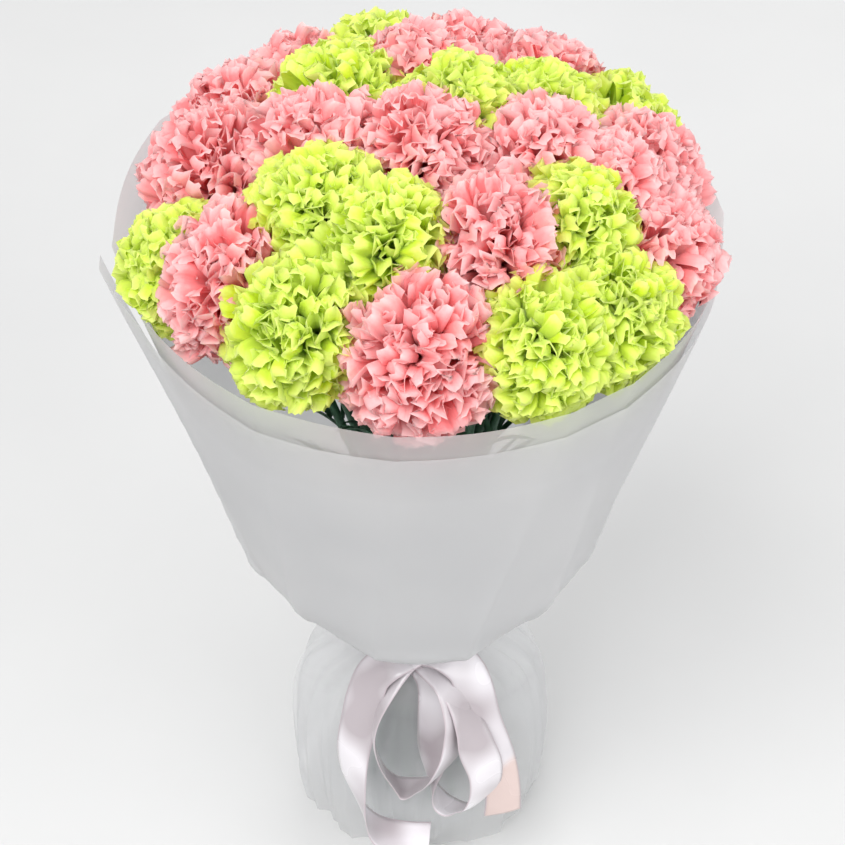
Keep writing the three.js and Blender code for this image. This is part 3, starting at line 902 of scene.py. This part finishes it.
def build_sleeve():
    """The clear, crinkled sleeve round the feet of the stems."""
    low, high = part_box("stem_sleeve")
    height = high[2] - low[2]
    wall, taper = 0.001, 0.019
    foot = (high[0] - low[0]) / 2 - wall
    top = foot - taper
    rows, columns = 60, 180
    corners = []
    for row in range(rows):
        share = row / (rows - 1)
        for column in range(columns):
            bearing = 360 * column / columns
            radius = mix(foot, top, share)
            spot = heading(bearing) * radius
            spot.z = share * height
            fold = noise.noise(Vector((spot.x * 60, spot.y * 60, spot.z * 22)))
            crisp = abs(noise.noise(Vector((spot.x * 35 + 5, spot.y * 35, spot.z * 14))))
            push = 1 + (0.0030 * fold - 0.0045 * crisp) / radius
            corners.append(Vector((spot.x * push, spot.y * push, max(spot.z, 0.0005))))
    sleeve = new_object("clear_sleeve", corners, grid_faces(rows, columns, closed=True), CLEAR)
    settle(sleeve, "stem_sleeve")


# --- Ribbon and cord --------------------------------------------------------------------------


def thicken(obj):
    """Gives a face of satin the thickness of the ribbon."""
    solid = obj.modifiers.new("thickness", "SOLIDIFY")
    solid.thickness = 0.0004
    solid.offset = 0


def ribbon_strip(name, points, steps, blush):
    """A strip of satin through points, each (x, y, rise, turn, lift) in millimetres and degrees.

    rise is the height over the tie. turn and lift aim the strip's width: turn from +X towards the
    front, lift upwards. blush is how peach the strip's last third is.
    """
    places = [Vector((x, y, 1000 * TIE_HEIGHT + rise)) / 1000 for x, y, rise, _, _ in points]
    line, length = curve_points(places, steps)
    gaps = [(places[i + 1] - places[i]).length for i in range(len(places) - 1)]
    travelled = [sum(gaps[:i]) / sum(gaps) for i in range(len(places))]
    turns = [(place, math.radians(point[3])) for place, point in zip(travelled, points)]
    lifts = [(place, math.radians(point[4])) for place, point in zip(travelled, points)]
    columns, cup = 9, 0.0010
    corners, alongs, acrosses = [], [], []
    for k, point in enumerate(line):
        share = k / (steps - 1)
        along = (line[min(k + 1, steps - 1)] - line[max(k - 1, 0)]).normalized()
        turn, lift = read_along(turns, share), read_along(lifts, share)
        across = Vector((math.cos(turn) * math.cos(lift), -math.sin(turn) * math.cos(lift),
                         math.sin(lift)))
        across = (across - along * across.dot(along)).normalized()
        face = along.cross(across)
        for column in range(columns):
            u = 2 * column / (columns - 1) - 1
            arch = cup * (1 - u * u) + 0.0006 * noise.noise(point * 40 + across * u)
            corner = point + across * u * RIBBON_WIDTH / 2 + face * arch
            corners.append(corner)
            alongs.append(share * length)
            acrosses.append(u)
    strip = new_object(name, corners, grid_faces(steps, columns), SATIN)
    store_values(strip, along=alongs, across=acrosses,
                 blush=[blush * smooth(0.66, 0.72, along / length) for along in alongs])
    thicken(strip)
    return strip, length


def ribbon_band(radius):
    """The ribbon gathered round the tie, in soft pleats."""
    rows, columns = 13, 140
    corners, alongs, acrosses = [], [], []
    for row in range(rows):
        share = row / (rows - 1)
        for column in range(columns):
            bearing = 360 * column / columns - 180
            pleat = 0.0007 * math.sin(9.5 * share * math.pi + 0.8 * math.sin(math.radians(2 * bearing)))
            crown = 0.0010 * (1 - (2 * share - 1) ** 2)
            spot = heading(bearing) * (radius + 0.0009 + pleat * 0.6 + crown)
            spot.z = TIE_HEIGHT + (share - 0.5) * 0.0135
            corners.append(spot)
            alongs.append(math.radians(bearing) * radius)
            acrosses.append((2 * share - 1) * 0.85)
    band = new_object("ribbon_band", corners, grid_faces(rows, columns, closed=True), SATIN)
    store_values(band, along=alongs, across=acrosses)
    thicken(band)
    return band


def ribbon_knot(radius):
    """The knot: a wrapped lump with folds running over it."""
    rows, columns = 24, 40
    centre = Vector((0, -radius - 0.0088, TIE_HEIGHT))
    corners, alongs, acrosses = [], [], []
    for row in range(rows):
        tilt = math.pi * (row + 0.5) / rows
        for column in range(columns):
            angle = 2 * math.pi * column / columns
            fold = 1 + 0.07 * math.sin(5 * math.cos(tilt) * 2.4 + 0.5 * math.sin(angle))
            pinch = 0.86 + 0.14 * abs(math.cos(tilt))
            spot = Vector((
                0.0088 * math.cos(tilt) * 1.02,
                0.0070 * math.sin(tilt) * math.cos(angle) * fold,
                0.0100 * math.sin(tilt) * math.sin(angle) * fold * pinch,
            ))
            corners.append(centre + spot)
            alongs.append(angle * 0.008)
            acrosses.append(math.cos(tilt) * 0.85)
    knot = new_object("ribbon_knot", corners, grid_faces(rows, columns, closed=True), SATIN)
    store_values(knot, along=alongs, across=acrosses)
    close_ends(knot, rows, columns)
    return knot


def close_ends(obj, rows, columns):
    """Caps the first and last ring of a closed grid."""
    work = bmesh.new()
    work.from_mesh(obj.data)
    work.verts.ensure_lookup_table()
    first = [work.verts[i] for i in range(columns)]
    last = [work.verts[(rows - 1) * columns + i] for i in range(columns)]
    work.faces.new(first)
    work.faces.new(last)
    bmesh.ops.recalc_face_normals(work, faces=work.faces)
    for face in work.faces:
        face.smooth = True
    work.to_mesh(obj.data)
    work.free()


def build_ribbon():
    band_radius = THROAT_RADIUS + 0.0012
    tied = 1000 * (-band_radius - 0.0092)
    routes = {
        "ribbon_tail_left": ([
            (-3, tied, -2, 60, 0), (-14, -47, 3, 52, 0), (-27, -52, -4, 42, 0), (-33, -58, -16, 32, 0),
            (-38, -66, -37, 30, 0), (-42, -73, -59, 38, 0), (-42, -77, -82, 50, 0),
            (-37, -82, -106, 72, 0), (-27, -88, -122, 88, 0), (-10, -91, -127, 90, -8),
            (6, -93, -126, 92, -12)], 100),
        "ribbon_loop_left": ([
            (-2, tied, 2, 40, 0), (-12, -46, 1, 55, 0), (-23, -59, -15, 75, 0),
            (-28, -69, -33, 88, 0), (-27, -75, -54, 80, 0), (-20, -80, -73, 70, 8),
            (-10, -83, -82, 78, 20), (5, -85, -73, 86, 48), (18, -84, -51, 122, 40),
            (24, -80, -31, 142, 14), (23, -72, -15, 125, 0), (17, -58, -4, 112, 0),
            (2, tied, -1, 135, 0)], 130),
        "ribbon_loop_right": ([
            (0, tied + 1, -5, 5, 0), (8, -49, -6, 8, 0), (11, -57, -17, 14, 0),
            (10, -65, -37, 25, 0), (8, -69, -62, 42, 0), (6, -73, -81, 70, 0),
            (10, -79, -95, 86, 0), (18, -84, -101, 90, 22), (31, -87, -97, 100, 50),
            (40, -88, -80, 138, 34), (41, -86, -59, 150, 10), (35, -82, -40, 146, 0),
            (30, -75, -25, 122, 0), (24, -66, -14, 102, 0), (16, -54, -5, 112, 0),
            (5, tied, -6, 130, 0)], 150),
        "ribbon_tail_right": ([
            (4, tied, 0, -60, 0), (16, -46, 5, -50, 0), (27, -51, 0, -40, 0), (33, -58, -10, -26, 0),
            (39, -68, -32, -30, 0), (46, -75, -50, -34, 0), (51, -78, -68, -38, 0),
            (53, -80, -94, -24, 0), (53, -81, -112, -14, 0)], 90),
    }
    pieces = [ribbon_band(band_radius), ribbon_knot(band_radius)]
    for name, (points, steps) in routes.items():
        blush = 0.9 if name == "ribbon_tail_right" else 0.0
        strip, length = ribbon_strip(name, points, steps, blush)
        pieces.append(strip)
    for piece in pieces:
        settle(piece, "ribbon")


def build_cord():
    """Two plies of fibre cord twisted round the stems."""
    low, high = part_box("binding_cord")
    cord_radius, ply_radius, ply_offset, twists = 0.0014, 0.0008, 0.0006, 34
    radius = (high[0] - low[0]) / 2 - cord_radius
    steps, sides = 260, 8
    corners, faces = [], []
    for ply in (0, 1):
        start = len(corners)
        for step in range(steps):
            angle = 2 * math.pi * step / steps
            twist = twists * angle + ply * math.pi
            ring = Vector((math.cos(angle), math.sin(angle), 0))
            centre = ring * (radius + ply_offset * math.cos(twist))
            centre.z = TIE_HEIGHT + ply_offset * math.sin(twist)
            for side in range(sides):
                turn = 2 * math.pi * side / sides
                corner = centre + ring * ply_radius * math.cos(turn)
                corner.z += ply_radius * math.sin(turn)
                corners.append(corner)
        for step in range(steps):
            after = (step + 1) % steps
            for side in range(sides):
                beside = (side + 1) % sides
                faces.append((
                    start + step * sides + side, start + after * sides + side,
                    start + after * sides + beside, start + step * sides + beside,
                ))
    cord = new_object("binding_cord_twist", corners, faces, FIBRE)
    settle(cord, "binding_cord")


# --- Build ------------------------------------------------------------------------------------


def build_flowers():
    tree = bloom_tree()
    petals = petal_collection()
    blooms = sorted(name for name in NODES if name.startswith("bloom_"))
    for number, bloom in enumerate(blooms):
        colour = "pink" if "pink" in bloom else "green"
        stem = bloom.replace("bloom", "stem")
        line, facing = read_stem(stem, bloom)
        flower = made_by_nodes(bloom.replace("bloom", "petals"), tree, {
            "Hull": NODES[bloom], "Petals": petals, "Count": 210,
            "Foot": line[-1] + facing * 0.003,
            "Facing": facing.to_track_quat("Z", "Y").to_euler(),
            "Widest": 1.66, "Proud": 0.0048, "Breadth": 0.0180, "Crumple": 0.0040,
            "Seed": number * 20, "Finish": PETALS[colour],
        })
        press_petals(flower)
        settle(flower, bloom)
        settle(stem_object(stem.replace("stem", "stalk"), line, facing, number), stem)


def build_stage():
    floor = new_object("floor", [(-4, -4, 0), (4, -4, 0), (4, 4, 0), (-4, 4, 0)], [(0, 1, 2, 3)],
                       floor_material(), smooth_shaded=False)
    floor.location.z = -0.0002
    camera = bpy.data.objects.new("camera", bpy.data.cameras.new("camera"))
    camera.location = (0.0017, -0.754, 1.073)
    camera.rotation_euler = (math.radians(45.5), 0, 0)
    camera.data.lens = 78.8
    camera.data.sensor_width = 36
    bpy.context.scene.collection.objects.link(camera)
    bpy.context.scene.camera = camera
    for name, place, size, power in (
        ("key", (-0.9, -1.2, 2.5), 1.8, 62), ("fill", (1.6, -1.2, 1.7), 2.0, 30),
        ("back", (0.4, 1.8, 1.9), 1.8, 18),
    ):
        lamp = bpy.data.objects.new(name, bpy.data.lights.new(name, "AREA"))
        lamp.data.size = size
        lamp.data.energy = power
        lamp.location = place
        aim = Vector((0, 0, 0.35)) - Vector(place)
        lamp.rotation_euler = aim.to_track_quat("-Z", "Y").to_euler()
        bpy.context.scene.collection.objects.link(lamp)
    world = bpy.data.worlds.new("studio")
    world.use_nodes = True
    background = world.node_tree.nodes["Background"]
    background.inputs[0].default_value = (0.985, 0.99, 1.0, 1)
    background.inputs[1].default_value = 0.75
    bpy.context.scene.world = world
    bpy.context.scene.view_settings.view_transform = "Standard"


build_flowers()
build_cord()
build_ribbon()
build_film()
build_sleeve()
build_stage()
